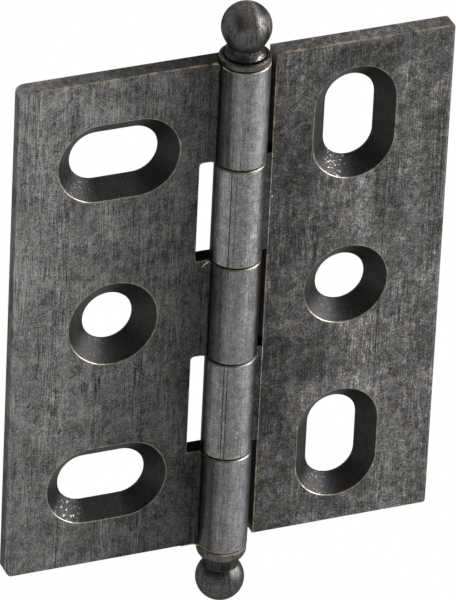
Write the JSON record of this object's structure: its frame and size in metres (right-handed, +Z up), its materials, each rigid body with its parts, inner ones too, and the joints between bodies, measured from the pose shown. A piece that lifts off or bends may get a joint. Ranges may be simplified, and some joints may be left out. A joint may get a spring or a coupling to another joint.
{
  "type": "decorative butt hinge",
  "caption": "Opened cabinet butt hinge with a five-knuckle barrel, ball-tipped pin and countersunk round and slotted screw holes.",
  "frame": {"origin": "centre of the fixed left leaf's middle screw hole, in the plane of the leaves' back faces", "axes": "+X from the fixed left leaf to the moving right leaf, +Y from the front faces to the back faces and into what the hinge is screwed to, +Z up along the pin"},
  "size_m": [0.0405, 0.0046, 0.0616],
  "materials": {
    "pewter_leaf_left": "antique pewter plating over solid brass, mottled, worn to brass on the edges",
    "pewter_leaf_right": "antique pewter plating over solid brass, mottled, worn to brass on the edges",
    "pewter_tip": "dark antique pewter plating over turned brass, streaked",
    "pin_steel": "drawn steel pin, satin"
  },
  "bodies": {
    "fixed_leaf": {"leaf_left": "pewter_leaf_left", "pin": "pin_steel", "tip_top": "pewter_tip", "tip_bottom": "pewter_tip"},
    "moving_leaf": {"leaf_right": "pewter_leaf_right"}
  },
  "joints": [
    {"name": "leaf_swing", "type": "hinge", "parent": "fixed_leaf", "child": "moving_leaf", "pos_m": [0.0112, -0.0019, 0], "axis": [0, 0, -1], "range_deg": [-110, 180]}
  ]
}
